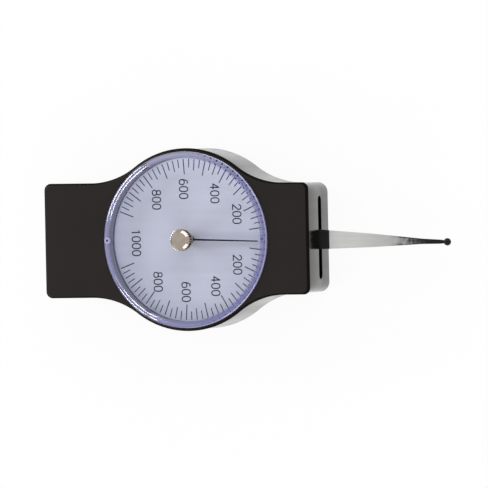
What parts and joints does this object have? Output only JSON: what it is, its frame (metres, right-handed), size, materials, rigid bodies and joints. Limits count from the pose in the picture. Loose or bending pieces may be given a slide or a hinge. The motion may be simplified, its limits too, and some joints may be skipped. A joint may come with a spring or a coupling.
{
  "type": "dial tension gauge",
  "caption": "Hand-held dial tension gauge: flat eared case, round crystal over a two-way scale, reset knob, geared pointer and a tapered ball-tipped feeler that swings in an end slot.",
  "frame": {"origin": "on the back face, straight under the dial's centre; the gauge lies on its back", "axes": "+X along the feeler, out of the slotted end; +Z out of the dial; +Y completes a right-handed frame"},
  "size_m": [0.1533, 0.0658, 0.0269],
  "materials": {
    "case_metal": "polished",
    "black_plastic": "satin, fine moulded texture",
    "clear_plastic": "clear with a violet tint, polished",
    "dial_white": "matt white with black print",
    "black_paint": "matt black",
    "nickel": "satin top, polished edge, knurled side",
    "brass": "turned and stamped",
    "steel": "fine ground",
    "screw_steel": "dark zinc",
    "spring_steel": "blued"
  },
  "bodies": {
    "case": {"case_body": "case_metal", "front_cover": "black_plastic", "rear_cover": "black_plastic", "crystal": "clear_plastic", "dial_plate": "dial_white", "crystal_bush": "brass", "spring_stud": "brass", "hairspring_stud": "brass", "front_plate": "brass", "rear_plate": "brass", "friction_washer": "steel", "arbor_bush_front": "steel", "arbor_bush_rear": "steel", "lever_bush_front": "steel", "lever_bush_rear": "steel", "pillar_1": "steel", "pillar_2": "steel", "pillar_3": "steel", "pillar_4": "steel", "stop_pin_1": "steel", "stop_pin_2": "steel", "case_screw_1": "screw_steel", "case_screw_2": "screw_steel", "case_screw_3": "screw_steel", "case_screw_4": "screw_steel", "mount_screw_1": "screw_steel", "mount_screw_2": "screw_steel", "mount_screw_3": "screw_steel", "mount_screw_4": "screw_steel", "pillar_screw_rear_1": "screw_steel", "pillar_screw_rear_2": "screw_steel", "pillar_screw_rear_3": "screw_steel", "pillar_screw_rear_4": "screw_steel", "pillar_screw_front_1": "screw_steel", "pillar_screw_front_2": "screw_steel", "pillar_screw_front_3": "screw_steel", "pillar_screw_front_4": "screw_steel", "main_spring": "spring_steel", "hairspring": "spring_steel"},
    "lever": {"feeler_blade": "steel", "lever_arm": "steel", "lever_shaft": "steel", "blade_screw_1": "screw_steel", "blade_screw_2": "screw_steel", "sector_gear": "brass", "sector_screw_1": "screw_steel", "sector_screw_2": "screw_steel", "spring_collet": "steel"},
    "pointer": {"pointer": "black_paint", "pointer_arbor": "steel", "pinion": "brass", "hairspring_collet": "brass"},
    "peak": {"reset_knob": "nickel", "knob_stem": "steel", "peak_hand": "black_paint"}
  },
  "joints": [
    {"name": "lever_swing", "type": "hinge", "parent": "case", "child": "lever", "pos_m": [0.0216, 0, 0.00807], "axis": [0, 0, 1], "range_deg": [-20, 20], "stiffness_Nm_per_rad": 2.1},
    {"name": "pointer_turn", "type": "hinge", "parent": "case", "child": "pointer", "pos_m": [0, 0, 0.0178], "axis": [0, 0, 1], "range_deg": [-160, 160]},
    {"name": "knob_turn", "type": "hinge", "parent": "case", "child": "peak", "pos_m": [0, 0, 0.0238], "axis": [0, 0, 1], "continuous": true}
  ],
  "couplings": [
    {"joint": "pointer_turn", "follows": "lever_swing", "ratio": -8}
  ]
}
